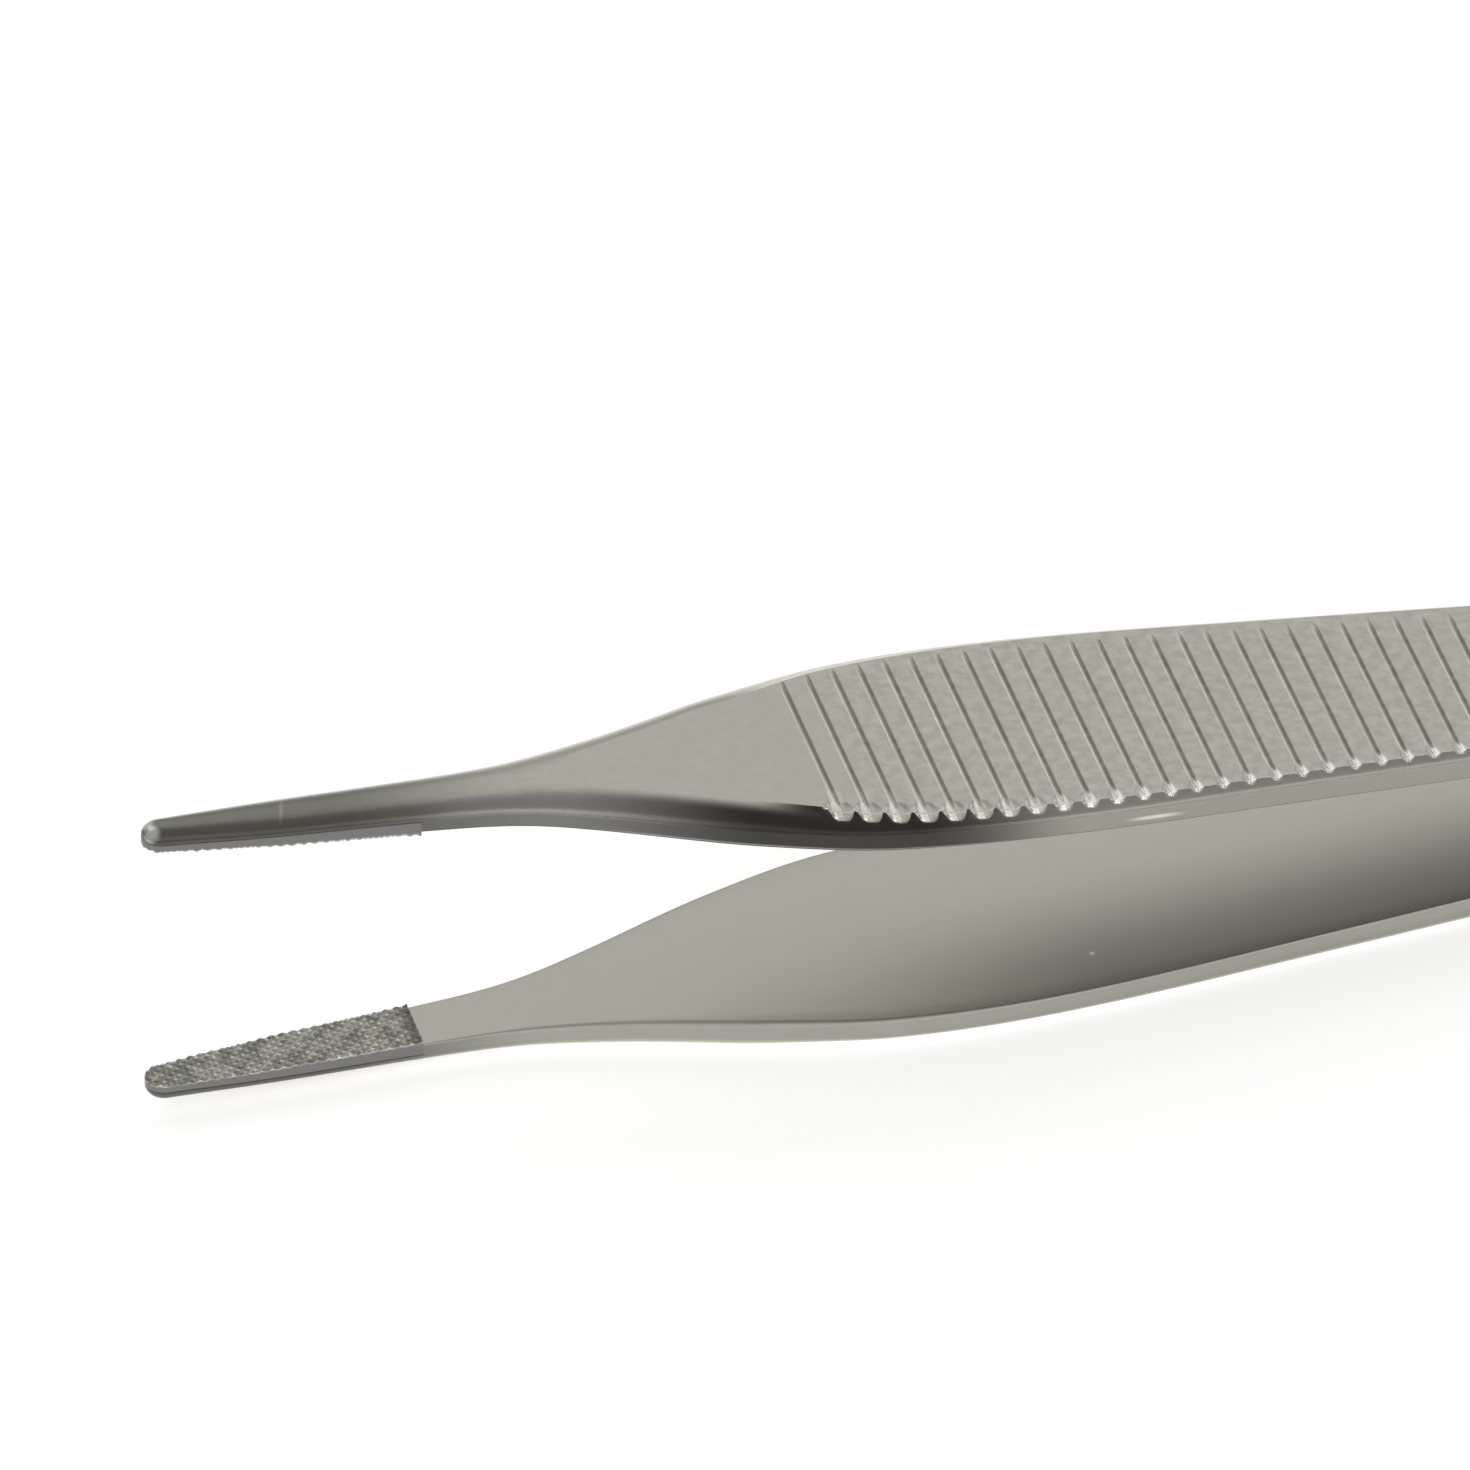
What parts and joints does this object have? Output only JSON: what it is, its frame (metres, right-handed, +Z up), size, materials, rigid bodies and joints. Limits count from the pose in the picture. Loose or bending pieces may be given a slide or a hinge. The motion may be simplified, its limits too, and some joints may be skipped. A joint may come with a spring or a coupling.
{
  "type": "thumb forceps",
  "caption": "Sprung thumb forceps with broad ridged thumb plates, slim waisted jaws and hard cross-hatched jaw inserts.",
  "frame": {"origin": "bottom centre of the box, on the flat outer face of the lower thumb plate", "axes": "+X along the forceps from the jaw tips to the heel, +Y across the arms, +Z up from the lower arm's flat face towards the upper arm"},
  "size_m": [0.1202, 0.0144, 0.0153],
  "materials": {
    "satin_steel": "satin ground stainless steel, warm grey",
    "hard_insert": "matt dark hard metal with cross-hatched bite face"
  },
  "bodies": {
    "root": {"upper_arm": "satin_steel", "lower_arm": "satin_steel", "upper_jaw_insert": "hard_insert", "lower_jaw_insert": "hard_insert"}
  },
  "joints": []
}
